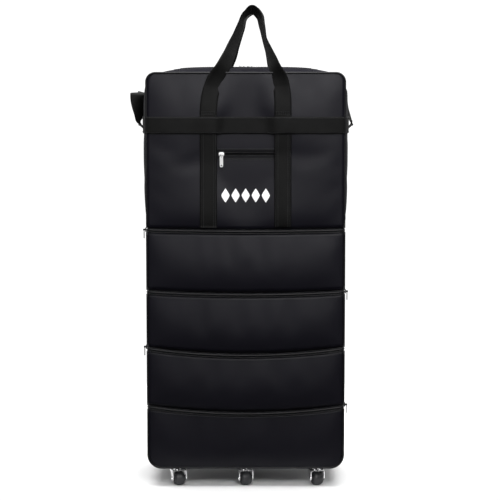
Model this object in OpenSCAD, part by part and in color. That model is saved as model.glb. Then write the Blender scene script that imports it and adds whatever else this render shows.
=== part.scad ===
// Expandable rolling duffel bag: a zipped top section over four folding tiers, on six swivel casters.
// Millimetres. The origin is on the floor below the middle of the bag; the front faces -Y.

/* [Body] */
// Width of the bag across the front, without its piping
body_w = 442; // [430:1:460]
// Depth of the bag from front to back, without its piping
body_d = 250; // [240:1:270]
// Heights of the folding tiers, from the floor up, each measured to the middle of its seam
tier_h = [143, 133, 127, 140]; // [125:1:145]
// Height of the top section, from its seam to its piped edge
top_h = 349; // [340:1:360]
// Rise of the zipped ridge above the piped edge
crown_h = 14; // [12:1:16]
// Radius of the top corners, seen from the front
top_r = 20; // [18:1:24]
// Radius of the bottom corners, seen from the front
bottom_r = 30; // [28:1:36]
// Radius of the upright corners, seen from above
plan_r = 4; // [4:1:5]
// Thickness of the padded fabric
wall = 3; // [2.5:0.5:3]
// How far the piping stands proud of the fabric
piping = 2; // [1.5:0.5:2]

/* [Seams] */
// Height of the flange at a tier seam
seam_h = 10; // [8:1:12]
// How far the zip coils stand out of the flange
coil = 1; // [0.5:0.5:1]

/* [Base and casters] */
// Height of the underside above the floor
base_z = 44; // [44:1:48]
// Thickness of the stiff base board
board_t = 4; // [3:1:5]
// Radius of a wheel
wheel_r = 16; // [15:0.5:16]
// Width of a wheel's tread
wheel_w = 22; // [18:1:24]
// Width of a fork over its legs
fork_w = 33; // [32:1:36]
// Distance from the kingpin back to the axle
trail = 9; // [8:1:10]
// Angle at which the casters stand
caster_yaw = 16; // [0:1:30]
// Places of the casters across the base
caster_x = [-155, -3, 160];
// Distance of each caster row's kingpins from the middle
caster_y = 95; // [90:1:98]

/* [Webbing] */
// Width of the handle, band and strap webbing
webbing_w = 38; // [34:1:40]
// Thickness of the webbing
webbing_t = 2; // [1.5:0.5:2]
// Height of the lower edge of the waist band
band_z = 801; // [790:1:805]
// Distance of the handle strips from the middle
handle_x = 83; // [80:1:90]
// Height at which the handles leave the panels
handle_z = 848; // [846:1:852]
// Height of the top of the handles
handle_top = 1080; // [1070:1:1085]

/* [Pocket] */
// Height of the pocket zip
pocket_z = 756; // [745:1:765]
// Length of the pocket zip
pocket_zip_w = 128; // [120:1:128]
// Height of the pouch behind the zip
pouch_h = 150; // [120:1:155]

/* [Hidden] */
$fn = 48;
gap = 0.3;
fit = 0.06;
nothing = 0.01;

TIERS = len(tier_h);
half_w = body_w / 2;
half_d = body_d / 2;
top_z0 = seam_z(TIERS);
top_z = top_z0 + top_h;
ridge_z = top_z + crown_h;

// Mouth flaps: the two halves of the top gusset on either side of the main zip
mouth_x = 150;
flap_y = half_d - wall - 1;
flap_t = 2.4;

// Steel and rivets of the casters
steel = 1.6;
plate_t = 2;
panel_t = 2;
crown_z = 33.2;
race_z = 38.5;
kingpin_r = 3;
axle_r = 2.5;
rivet_r = 2;
rivet_dx = 14;
rivet_dy = 11;
CASTERS = [for (side = [-1, 1], x = caster_x) [x, side * caster_y]];

// Zip sliders: plate, and a bridge rod that the pull's eye turns on
slider_l = 12;
slider_w = 9;
rod_r = 1;
rod_h = 5.4;
eye_r = 2.3;
pull_w = 7.5;
pull_tilt = 12;

// Seams that carry a tier slider on the left (-1) or right (1) side
TIER_SIDE = [1, -1, 1, -1];
tier_slider_y = -95;

main_slider_x = 9;
pocket_slider_x = -54;

FABRIC = [0.10, 0.10, 0.13];
WEBBING = [0.16, 0.16, 0.15];
CHROME = [0.85, 0.85, 0.87];
BOARD = [0.25, 0.25, 0.25];
RUBBER = [0.22, 0.22, 0.23];

// Height of the middle of a seam, counted from the floor up; 0 is the underside
function seam_z(tier) = tier == 0 ? base_z : seam_z(tier - 1) + tier_h[tier - 1];

// ---- Outlines ----

// Rectangle with round corners, centred
module rounded_rect(w, h, r) {
    square([w - 2 * r, h], center = true);
    square([w, h - 2 * r], center = true);
    for (x = [-1, 1], y = [-1, 1]) translate([x * (w / 2 - r), y * (h / 2 - r)]) circle(r);
}

// Outline of the bag from above, moved in by inset
module plan_outline(inset) {
    rounded_rect(body_w - 2 * inset, body_d - 2 * inset, plan_r - inset);
}

// Outline of the bag from the front, with heights as Y, moved in by inset
module front_outline(inset) {
    w = half_w - inset;
    low_r = bottom_r - inset;
    high_r = top_r - inset;
    z0 = base_z + inset;
    z1 = top_z - inset;
    translate([-w, z0 + low_r]) square([2 * w, z1 - high_r - z0 - low_r]);
    translate([-w + low_r, z0]) square([2 * (w - low_r), low_r + nothing]);
    translate([-w + high_r, z1 - high_r - nothing]) square([2 * (w - high_r), high_r + nothing]);
    for (side = [-1, 1]) {
        translate([side * (w - low_r), z0 + low_r]) circle(low_r);
        translate([side * (w - high_r), z1 - high_r]) circle(high_r);
    }
}

// Front outline as a slab between two depths
module front_slab(y0, y1, inset) {
    translate([0, y1, 0]) rotate([90, 0, 0]) linear_extrude(y1 - y0) front_outline(inset);
}

// The bag's whole volume, moved in by inset
module envelope(inset) {
    intersection() {
        front_slab(-half_d + inset, half_d - inset, inset);
        linear_extrude(top_z + 1) plan_outline(inset);
    }
}

// Piping round the edge of the front or the back
module edge_piping(side) {
    y = side * (half_d - piping / 2);
    difference() {
        front_slab(y - 1.5 * piping, y + 1.5 * piping, -piping);
        front_slab(y - 2 * piping, y + 2 * piping, piping);
    }
}

// Walls and piping between two heights
module skin(z0, z1) {
    intersection() {
        translate([-body_w, -body_d, z0]) cube([2 * body_w, 2 * body_d, z1 - z0]);
        union() {
            difference() {
                envelope(0);
                envelope(wall);
            }
            for (side = [-1, 1]) edge_piping(side);
        }
    }
}

// ---- Webbing bent and twisted through the air ----

function unit(v) = v / norm(v);
function square_to(v, along) = unit(v - (v * along) * along);
function wave(a, b, c, d, t) = 0.5 * (2 * b + (c - a) * t + (2 * a - 5 * b + 4 * c - d) * t * t
    + (3 * b - a - 3 * c + d) * t * t * t);

// A smooth line through every point of a list, with a number of steps between neighbours
function smooth(p, steps) = let (last = len(p) - 1) concat(
    [for (i = [0:last - 1], k = [0:steps - 1])
        wave(p[max(i - 1, 0)], p[i], p[i + 1], p[min(i + 2, last)], k / steps)],
    [p[last]]);

// Flat webbing along a list of points; across holds the direction of its width at each one
module ribbon(path, across, width, thick) {
    last = len(path) - 1;
    along = [for (i = [0:last]) unit(path[min(i + 1, last)] - path[max(i - 1, 0)])];
    side = [for (i = [0:last]) square_to(across[i], along[i])];
    face = [for (i = [0:last]) cross(along[i], side[i])];
    corners = [[-1, -1], [1, -1], [1, 1], [-1, 1]];
    points = [for (i = [0:last], c = corners)
        path[i] + c[0] * width / 2 * side[i] + c[1] * thick / 2 * face[i]];
    walls = [for (i = [0:last - 1], k = [0:3])
        let (a = 4 * i + k, b = 4 * i + (k + 1) % 4)
        each [[a, b, b + 4], [a, b + 4, a + 4]]];
    far = 4 * last;
    ends = [[3, 2, 1], [3, 1, 0], [far, far + 1, far + 2], [far, far + 2, far + 3]];
    polyhedron(points, [for (f = concat(walls, ends)) [f[2], f[1], f[0]]], convexity = 6);
}

// ---- Base ----

module at_rivets() {
    for (c = CASTERS, dx = [-1, 1], dy = [-1, 1])
        translate([c[0] + dx * rivet_dx, c[1] + dy * rivet_dy, 0]) children();
}

module at_kingpins() {
    for (c = CASTERS) translate([c[0], c[1], 0]) children();
}

module bottom_panel() {
    color(FABRIC) difference() {
        translate([0, 0, base_z]) linear_extrude(panel_t)
            square([2 * (half_w - bottom_r), body_d - 2 * wall], center = true);
        at_rivets() translate([0, 0, base_z - 1]) cylinder(r = rivet_r + fit, h = panel_t + 2);
        at_kingpins() translate([0, 0, base_z - 1]) cylinder(r = kingpin_r + 2.5, h = panel_t + 2);
    }
}

module base_board() {
    z0 = base_z + panel_t;
    color(BOARD) difference() {
        translate([0, 0, z0]) linear_extrude(board_t)
            rounded_rect(2 * (half_w - bottom_r), body_d - 2 * wall - 6, 12);
        at_rivets() translate([0, 0, z0 - 1]) cylinder(r = rivet_r + fit, h = board_t + 2);
    }
}

module caster_plates() {
    color(CHROME) at_kingpins() difference() {
        union() {
            translate([0, 0, base_z - plate_t]) linear_extrude(plate_t)
                rounded_rect(2 * rivet_dx + 12, 2 * rivet_dy + 10, 4);
            translate([0, 0, race_z]) cylinder(r = 12, h = base_z - plate_t - race_z);
        }
        translate([0, 0, race_z - 1]) cylinder(r = kingpin_r + fit, h = base_z - race_z + 2);
        for (dx = [-1, 1], dy = [-1, 1]) translate([dx * rivet_dx, dy * rivet_dy, race_z])
            cylinder(r = rivet_r + fit, h = base_z - race_z + 1);
    }
}

module caster_rivets() {
    board_top = base_z + panel_t + board_t;
    color(CHROME) {
        at_kingpins() {
            translate([0, 0, crown_z - 1.4]) cylinder(r = kingpin_r + 1.5, h = 1.1);
            translate([0, 0, crown_z - 1]) cylinder(r = kingpin_r, h = base_z - crown_z + 2);
            translate([0, 0, base_z + fit]) cylinder(r = kingpin_r + 2, h = 1.6);
        }
        at_rivets() {
            translate([0, 0, base_z - plate_t - 1.1]) cylinder(r = 1.6 * rivet_r, h = 1.1 - fit);
            translate([0, 0, base_z - plate_t - 1])
                cylinder(r = rivet_r, h = board_top - base_z + plate_t + 2);
            translate([0, 0, board_top + fit]) cylinder(r = 1.6 * rivet_r, h = 1.1);
        }
    }
}

// Moves a caster's own frame, with the kingpin on its Z axis, to its place
module place_caster(i) {
    translate([CASTERS[i - 1][0], CASTERS[i - 1][1], 0]) rotate([0, 0, caster_yaw]) children();
}

module fork_leg(side) {
    inner = fork_w / 2 - steel;
    high = crown_z + 1.8;
    translate([side > 0 ? inner : -inner - steel, 0, 0]) rotate([90, 0, 90])
        linear_extrude(steel) difference() {
            union() {
                translate([-trail, wheel_r]) circle(6);
                polygon([[-trail - 6, wheel_r], [-trail + 6, wheel_r], [9, high], [-trail - 6, high]]);
            }
            translate([-trail, wheel_r]) circle(axle_r + 0.05);
        }
}

module caster_fork(i) {
    color(CHROME) place_caster(i) difference() {
        union() {
            for (side = [-1, 1]) fork_leg(side);
            translate([-fork_w / 2, -trail - 6, crown_z]) cube([fork_w, trail + 15, 1.8]);
            translate([0, 0, crown_z + 1]) cylinder(r = 11, h = race_z - gap - crown_z - 1);
        }
        translate([0, 0, crown_z - 1]) cylinder(r = kingpin_r + fit, h = race_z);
    }
}

module caster_wheel(i) {
    tread = wheel_w / 2;
    hub = fork_w / 2 - steel - 0.5;
    color(RUBBER) place_caster(i) translate([0, -trail, wheel_r]) rotate([0, 90, 0])
        rotate_extrude() polygon([
            [axle_r + fit, -hub], [6.5, -hub], [6.5, -tread], [wheel_r - 3, -tread],
            [wheel_r - 1, -tread + 3], [wheel_r, -tread + 7], [wheel_r, tread - 7],
            [wheel_r - 1, tread - 3], [wheel_r - 3, tread], [6.5, tread], [6.5, hub], [axle_r + fit, hub]]);
}

module caster_axle(i) {
    reach = fork_w / 2;
    color(CHROME) place_caster(i) translate([0, -trail, wheel_r]) rotate([0, 90, 0]) {
        translate([0, 0, -reach - 1]) cylinder(r = axle_r, h = 2 * reach + 2);
        for (side = [-1, 1]) translate([0, 0, side * (reach + 0.85) - 0.75]) cylinder(r = 4, h = 1.5);
    }
}

// ---- Folding tiers ----

// Sleeve of one tier; the lowest also turns in under the bottom corners
module tier_wall(tier) {
    low = tier == 1 ? base_z : seam_z(tier - 1) + seam_h / 2;
    high = seam_z(tier) - seam_h / 2 - gap;
    color(FABRIC) difference() {
        skin(low, high);
        if (tier == 1) translate([-half_w + bottom_r, -half_d + wall, base_z - 1])
            cube([2 * (half_w - bottom_r), body_d - 2 * wall, wall + 2]);
    }
}

// Flange at a seam, with the zip halves of the tiers above and below it
module tier_zip(tier) {
    color(FABRIC) translate([0, 0, seam_z(tier) - seam_h / 2]) difference() {
        union() {
            linear_extrude(seam_h) plan_outline(-piping);
            for (z = [1.5, seam_h - 3.5]) translate([0, 0, z])
                linear_extrude(2) plan_outline(-piping - coil);
        }
        translate([0, 0, -1]) linear_extrude(seam_h + 2) plan_outline(wall);
    }
}

// ---- Zip sliders ----

// Slider that runs along X on a zip in the XY plane
module slider() {
    translate([0, 0, gap]) linear_extrude(2.4) rounded_rect(slider_l, slider_w, 3);
    for (x = [-1, 1]) translate([x * 4, 0, 0]) {
        translate([-0.8, -1.1, 2]) cube([1.6, 2.2, rod_h - 2]);
        translate([-0.8, 0, rod_h]) rotate([0, 90, 0]) cylinder(r = 1.1, h = 1.6);
    }
    translate([-4, 0, rod_h]) rotate([0, 90, 0]) cylinder(r = rod_r, h = 8);
}

// Pull that hangs from the slider's rod towards -Y
module pull(length) {
    translate([0, 0, rod_h]) difference() {
        union() {
            translate([-2.4, 0, 0]) rotate([0, 90, 0]) cylinder(r = eye_r, h = 4.8);
            translate([-2, -7, -0.8]) cube([4, 6, 1.6]);
            translate([0, 0, -0.8]) linear_extrude(1.6) {
                translate([-pull_w / 2, -length + pull_w / 2]) square([pull_w, length - pull_w / 2 - 7]);
                translate([0, -7]) circle(pull_w / 2);
                translate([0, -length + pull_w / 2]) circle(pull_w / 2);
            }
        }
        translate([-5, 0, 0]) rotate([0, 90, 0]) cylinder(r = rod_r + 0.08, h = 10);
        translate([0, -length + pull_w / 2, -3]) cylinder(r = 1.6, h = 6);
    }
}

// Moves a slider's frame to the side of a tier seam
module place_tier_slider(tier) {
    side = TIER_SIDE[tier - 1];
    mirror([side > 0 ? 1 : 0, 0, 0])
        translate([-half_w - piping - coil, tier_slider_y, seam_z(tier) - seam_h / 2 + 2.5])
        rotate([90, 0, -90]) children();
}

module tier_slider(tier) {
    color(CHROME) place_tier_slider(tier) slider();
}

module tier_pull(tier) {
    color(CHROME) place_tier_slider(tier) pull(20);
}

module place_main_slider(side) {
    translate([side * main_slider_x, 0, ridge_z + 0.6]) children();
}

module main_slider(side) {
    color(CHROME) place_main_slider(side) slider();
}

module main_pull(side) {
    color(CHROME) place_main_slider(side)
        translate([0, 0, rod_h]) rotate([pull_tilt, 0, 0]) translate([0, 0, -rod_h]) pull(25);
}

module place_pocket_slider() {
    translate([pocket_slider_x, -half_d - 1.2, pocket_z]) rotate([90, 0, 0]) children();
}

module pocket_slider() {
    color(CHROME) place_pocket_slider() slider();
}

module pocket_pull() {
    color(CHROME) place_pocket_slider() pull(29);
}

// ---- Top section ----

// Part of the top section's skin between two depths, above the top seam
module top_panel(y0, y1) {
    intersection() {
        skin(top_z0 + seam_h / 2, top_z + piping);
        translate([-body_w, y0, 0]) cube([2 * body_w, y1 - y0, 2 * top_z]);
    }
}

module front_panel() {
    color(FABRIC) difference() {
        top_panel(-half_d - 2 * piping, -half_d + wall);
        translate([-pocket_zip_w / 2, -half_d - 1, pocket_z - 3]) cube([pocket_zip_w, wall + 2, 6]);
    }
}

module back_panel() {
    color(FABRIC) top_panel(half_d - wall, half_d + 2 * piping);
}

// Side of the top section; it turns over the corner and meets the mouth
module gusset(side) {
    low = top_z - wall;
    mouth = side * (mouth_x + 0.5);
    intersection() {
        union() {
            top_panel(-half_d + wall, half_d - wall);
            hull() {
                for (x = [mouth, side * (half_w - top_r)], y = [-1, 1])
                    translate([x, y * (flap_y - 1), low]) cube([1, 1, 3], center = true);
                translate([mouth, 0, ridge_z - 1]) cube([1, 6, 2], center = true);
            }
        }
        translate([side > 0 ? mouth_x : -body_w, -body_d, 0])
            cube([body_w - mouth_x, 2 * body_d, 2 * top_z]);
    }
}

module left_gusset() {
    color(FABRIC) gusset(-1);
}

module right_gusset() {
    color(FABRIC) gusset(1);
}

// Half of the top gusset, from the panel's edge up to the ridge, with its row of teeth
module flap(side) {
    edge = -flap_y;
    low = top_z - flap_t;
    color(FABRIC) mirror([0, side > 0 ? 1 : 0, 0]) rotate([90, 0, 90])
        translate([0, 0, -mouth_x + gap]) linear_extrude(2 * (mouth_x - gap)) {
            polygon([[edge, low], [edge + 40, low + crown_h * 0.55], [edge + 85, low + crown_h * 0.9],
                [-gap, low + crown_h], [-gap, low + crown_h + flap_t], [edge + 85, top_z + crown_h * 0.9],
                [edge + 40, top_z + crown_h * 0.55], [edge, top_z]]);
            translate([-2.5, ridge_z - 0.2]) square([2.5 - gap, 0.8]);
        }
}

module front_flap() {
    flap(-1);
}

module rear_flap() {
    flap(1);
}

// ---- Pocket ----

// Flat pouch behind the front panel, open to the zip
module pocket_lining() {
    w = pocket_zip_w + 12;
    depth = 10;
    skin_t = 1.2;
    back = -half_d + wall;
    high = pocket_z + 12;
    color(FABRIC) difference() {
        translate([-w / 2, back, high - pouch_h]) cube([w, depth, pouch_h]);
        translate([-w / 2 + skin_t, back + skin_t, high - pouch_h + skin_t])
            cube([w - 2 * skin_t, depth - 2 * skin_t, pouch_h - 2 * skin_t]);
        translate([-pocket_zip_w / 2, back - 1, pocket_z - 3]) cube([pocket_zip_w, skin_t + 2, 6]);
    }
}

// Two tapes with their rows of teeth, parted by the open zip
module pocket_zip() {
    length = pocket_zip_w - 2 * gap;
    color(WEBBING) for (side = [-1, 1]) {
        translate([-length / 2, -half_d - 0.9, pocket_z + (side > 0 ? 2.9 : -9.9)]) cube([length, 0.85, 7]);
        translate([-length / 2, -half_d - 1.2, pocket_z + (side > 0 ? 2.4 : -4)]) cube([length, 1.1, 1.6]);
    }
}

// ---- Webbing ----

module waist_band() {
    inner = piping + gap;
    outer = inner + webbing_t;
    color(WEBBING) translate([0, 0, band_z]) linear_extrude(webbing_w) difference() {
        rounded_rect(body_w + 2 * outer, body_d + 2 * outer, webbing_t + 0.5);
        rounded_rect(body_w + 2 * inner, body_d + 2 * inner, 0.5);
    }
}

// Upright strips that carry the handles, front and back
module webbing_strips() {
    low = top_z0 + seam_h / 2;
    color(WEBBING) for (side = [-1, 1], y = [-1, 1])
        translate([side * handle_x, y * (half_d + webbing_t / 2 + 0.05), (low + handle_z) / 2])
            cube([webbing_w, webbing_t - 0.1, handle_z - low], center = true);
}

// Points of the front handle's webbing, each with how far it has twisted there
HANDLE = [
    [-handle_x, -126.2, handle_z + 1, 0], [-handle_x + 1, -129.5, handle_z + 37, 0],
    [-73, -132, handle_z + 72, 3], [-55, -134, handle_z + 99, 10], [-38, -113, handle_z + 126, 38],
    [-25, -78, handle_z + 157, 62], [-11, -48, handle_z + 194, 80], [-1, -32, handle_top - 13, 74],
    [12, -26, handle_top, 62], [25, -32, handle_top - 13, 72], [33, -48, handle_z + 194, 80],
    [44, -78, handle_z + 157, 72], [56, -110, handle_z + 126, 50], [68, -132, handle_z + 99, 12],
    [78, -132, handle_z + 72, 3], [handle_x, -129.5, handle_z + 37, 0],
    [handle_x, -126.2, handle_z + 1, 0]];
HANDLE_STEPS = 3;
handle_line = smooth(HANDLE, HANDLE_STEPS);

// A point's share of the way through the air, so that the sewn ends stay put
function lean(p) = max(p[2] - handle_z - 90, 0) / (handle_top - handle_z - 90);

// Handle loop; shift moves its top sideways
module handle_loop(shift) {
    path = [for (p = handle_line) [p[0] + shift * lean(p), p[1], p[2]]];
    last = len(path) - 1;
    across = [for (i = [0:last])
        let (t = path[min(i + 1, last)] - path[max(i - 1, 0)], a = handle_line[i][3])
        cos(a) * unit([t[2], 0, -t[0]]) + [0, sin(a), 0]];
    ribbon(path, across, webbing_w, webbing_t);
}

module front_handle() {
    color(WEBBING) handle_loop(0);
}

module rear_handle() {
    color(WEBBING) mirror([0, 1, 0]) handle_loop(5);
}

// ---- Shoulder strap and its rings ----

ring_z = 806;
ring_x = half_w + piping + webbing_t + 3.6;
ring_h = 20;
ring_lean = 48;
ring_half = 18.5;
wire_r = 1.6;
// Upper bar of a ring, which the strap is sewn round
bar_x = ring_x + ring_h * sin(ring_lean);
bar_z = ring_z + ring_h * cos(ring_lean);
strap_w = webbing_w - 4;
strap_z = 890;
strap_back = half_d + 13.5;
strap_low = 505;
strap_left = -239.5;
strap_turn = 32;
strap_drop = 164;
STRAP_STEPS = 3;

// Rectangular ring of wire that leans out from the side
module side_rings() {
    color(BOARD) for (side = [-1, 1]) translate([side * ring_x, 0, ring_z])
        rotate([0, side * ring_lean, 0]) {
            for (z = [0, ring_h]) translate([0, -ring_half, z]) rotate([-90, 0, 0])
                cylinder(r = wire_r, h = 2 * ring_half);
            for (y = [-ring_half, ring_half]) {
                translate([0, y, 0]) cylinder(r = wire_r, h = ring_h);
                for (z = [0, ring_h]) translate([0, y, z]) sphere(wire_r);
            }
        }
}

// Webbing sewn round a bar along Y, with its tail below (-1) or above (1)
module bar_loop(tail, tail_h, w) {
    translate([0, w / 2, 0]) rotate([90, 0, 0]) linear_extrude(w) difference() {
        union() {
            circle(3.2);
            translate([-1.3, tail > 0 ? 0 : -tail_h]) square([2.6, tail_h]);
        }
        circle(wire_r + 0.15);
    }
}

// Webbing tabs that hold the rings to the band
module ring_tabs() {
    color(WEBBING) for (side = [-1, 1]) translate([side * ring_x, 0, ring_z]) bar_loop(-1, 24, 32);
}

// Left end of the strap: up from the ring with a quarter turn, then back along the side
STRAP_LEFT = [[-bar_x, 0, bar_z + 6.9], [-bar_x, -1, bar_z + 14], [-bar_x, -5, bar_z + 30],
    [strap_left, -10, strap_z - 18], [strap_left, -12, strap_z - 8],
    [strap_left, -8, strap_z - 2], [strap_left, 4, strap_z],
    [strap_left, 60, strap_z], [strap_left, strap_back - 1.6, strap_z]];
STRAP_LEFT_ACROSS = [[0, 1, 0], [0.1, 1, 0], [0.6, 0.8, 0], for (i = [0:5]) [1, 0, 0]];
// Right end: along the side, round the back corner, and down behind the back
STRAP_RIGHT = [[bar_x, 0, bar_z + 6.2], [bar_x, 0.5, bar_z + 16], [bar_x - 3, 14, bar_z + 38],
    [bar_x - 6, 45, bar_z + 56], [bar_x - 8, 90, bar_z + 64], [half_w + 9, half_d - 3, bar_z + 64],
    [half_w + 3, half_d + 11, bar_z + 64], [half_w - 14, strap_back, bar_z + 64],
    for (a = [0, 30, 60, 90]) [strap_drop + strap_turn * (1 - sin(a)), strap_back,
        bar_z + 64 - strap_turn * (1 - cos(a))],
    [strap_drop, strap_back, bar_z + 26]];
STRAP_RIGHT_ACROSS = [[0, 1, 0], [0, 1, 0], [0, 0.8, -0.6], [0, 0.45, -0.9], [0, 0.15, -1],
    for (i = [0:2]) [0, 0, -1], for (a = [0, 30, 60, 90]) [-sin(a), 0, -cos(a)], [-1, 0, 0]];

module strap_ends() {
    color(WEBBING) {
        for (x = [-bar_x, bar_x]) translate([x, 0, bar_z]) bar_loop(1, 7.5, strap_w - 2);
        for (end = [[STRAP_LEFT, STRAP_LEFT_ACROSS], [STRAP_RIGHT, STRAP_RIGHT_ACROSS]])
            ribbon(smooth(end[0], STRAP_STEPS), smooth(end[1], STRAP_STEPS), strap_w, webbing_t);
    }
}

// Slack loop behind the back panel, from the left corner down and up to the right
module shoulder_strap() {
    top = strap_z + 0.7;
    right = bar_z + 24 - gap;
    points = [[strap_left, top], [strap_left, top - 30], [strap_left + 14, top - 140],
        [strap_left + 62, strap_low + 150], [strap_left + 130, strap_low + 45], [-20, strap_low],
        [70, strap_low + 50], [130, strap_low + 160], [strap_drop - 5, right - 80],
        [strap_drop, right - 25], [strap_drop, right]];
    path = smooth([for (p = points) [p[0], strap_back, p[1]]], STRAP_STEPS);
    last = len(path) - 1;
    across = [for (i = [0:last]) cross(path[min(i + 1, last)] - path[max(i - 1, 0)], [0, -1, 0])];
    color(WEBBING) ribbon(path, across, strap_w, webbing_t);
}

base_board();
bottom_panel();
caster_plates();
caster_rivets();
for (i = [1:6]) {
    caster_fork(i);
    caster_wheel(i);
    caster_axle(i);
}
for (i = [1:TIERS]) {
    tier_wall(i);
    tier_zip(i);
    tier_slider(i);
    tier_pull(i);
}
front_panel();
back_panel();
left_gusset();
right_gusset();
front_flap();
rear_flap();
main_slider(-1);  // main_slider_left
main_slider(1);  // main_slider_right
main_pull(-1);  // main_pull_left
main_pull(1);  // main_pull_right
pocket_lining();
pocket_zip();
pocket_slider();
pocket_pull();
waist_band();
webbing_strips();
front_handle();
rear_handle();
shoulder_strap();
strap_ends();
side_rings();
ring_tabs();
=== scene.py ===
import math

import bpy
import numpy as np
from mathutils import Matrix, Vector
from mathutils.bvhtree import BVHTree


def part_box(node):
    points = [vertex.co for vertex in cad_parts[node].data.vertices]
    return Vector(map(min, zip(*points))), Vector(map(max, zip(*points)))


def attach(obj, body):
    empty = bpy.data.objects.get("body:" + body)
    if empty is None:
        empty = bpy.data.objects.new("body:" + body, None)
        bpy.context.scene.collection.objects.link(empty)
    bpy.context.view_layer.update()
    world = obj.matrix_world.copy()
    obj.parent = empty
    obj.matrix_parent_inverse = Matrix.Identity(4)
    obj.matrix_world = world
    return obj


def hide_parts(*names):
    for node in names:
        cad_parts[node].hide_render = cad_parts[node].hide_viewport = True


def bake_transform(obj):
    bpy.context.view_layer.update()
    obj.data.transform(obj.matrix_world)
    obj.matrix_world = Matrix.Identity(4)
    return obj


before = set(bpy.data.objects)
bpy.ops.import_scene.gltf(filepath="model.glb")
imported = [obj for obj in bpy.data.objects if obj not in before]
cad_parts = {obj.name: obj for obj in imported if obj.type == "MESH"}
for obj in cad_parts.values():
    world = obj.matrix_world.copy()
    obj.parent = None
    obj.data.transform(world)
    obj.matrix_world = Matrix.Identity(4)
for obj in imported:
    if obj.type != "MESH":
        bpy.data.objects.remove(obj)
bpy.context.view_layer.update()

# Expandable rolling duffel bag: the soft goods, trims and materials over the CAD frame.
# Metres, in the frame's own axes: +Z up, front towards -Y. Everything is worked out from the CAD boxes.

MM = 0.001

# ---- Sizes, from the frame ----

PIPING = 2 * MM
SEAM_H = 10 * MM
TIERS = 4
panel_low, panel_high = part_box("front_panel")
HALF_W = panel_high.x - PIPING
HALF_D = -panel_low.y - PIPING
TOP_Z = panel_high.z - PIPING
BASE_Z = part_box("bottom_panel")[0].z
SEAM_Z = [BASE_Z] + [sum(b.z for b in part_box(f"tier_zip_{i + 1}")) / 2 for i in range(TIERS)]
MOUTH_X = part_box("front_flap")[1].x
TOP_R = 20 * MM
BOTTOM_R = 30 * MM
BAND_LOW, BAND_HIGH = (b.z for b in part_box("waist_band"))
HANDLE_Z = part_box("webbing_strips")[1].z
HANDLE_X = 83 * MM
WEBBING = 38 * MM
POCKET_Z = sum(b.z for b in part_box("pocket_zip")) / 2
POCKET_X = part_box("pocket_zip")[1].x

# How the fabric hangs, from the photo, for the base and then for each seam from the lowest up:
# the sag of a seam's middle below its corners, its drop all round and how far its middle stands out
DROOP = [0, 14 * MM, 14 * MM, 5.5 * MM, 2.5 * MM]
SEAM_DROP = [0, 2.6 * MM, 2.6 * MM, 0.6 * MM, 0.8 * MM]
SEAM_SWELL = [0, 6 * MM, 6 * MM, 6 * MM, 5 * MM]
# Rise of the zipped ridge, and how far along the top it fades out
CROWN = 13.5 * MM
CROWN_END = 199 * MM


def smoothstep(t):
    t = np.clip(t, 0, 1)
    return t * t * (3 - 2 * t)


def smooth_line(points, steps):
    """Catmull-Rom line through every point, the same formula as the CAD's."""
    p = np.array(points, float)
    out = []
    for i in range(len(p) - 1):
        a, b, c, d = p[max(i - 1, 0)], p[i], p[i + 1], p[min(i + 2, len(p) - 1)]
        for t in np.arange(steps) / steps:
            out.append(0.5 * (2 * b + (c - a) * t + (2 * a - 5 * b + 4 * c - d) * t**2
                              + (3 * b - a - 3 * c + d) * t**3))
    return np.array(out + [p[-1]])


def lengths(path):
    return np.concatenate([[0], np.cumsum(np.linalg.norm(np.diff(path, axis=0), axis=1))])


def read_off(values, path, pitch, ahead=0.0):
    """Values that go with a path's points, taken at an even pitch along it."""
    s = lengths(path)
    at = np.arange(pitch / 2, s[-1], pitch) + ahead
    return np.stack([np.interp(at, s, values[:, k]) for k in range(3)], 1)


def resample(path, pitch):
    """Points along a path at an even pitch, with the direction at each one."""
    path = np.array(path, float)
    points = read_off(path, path, pitch)
    along = read_off(path, path, pitch, ahead=pitch / 4) - points
    return points, along / np.maximum(np.linalg.norm(along, axis=1, keepdims=True), 1e-9)


def unit(v):
    v = np.array(v, float)
    return v / np.maximum(np.linalg.norm(v, axis=-1, keepdims=True), 1e-12)


# ---- Mesh building ----

def placed(name, data):
    """A new object in the scene."""
    obj = bpy.data.objects.new(name, data)
    bpy.context.scene.collection.objects.link(obj)
    return obj


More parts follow.
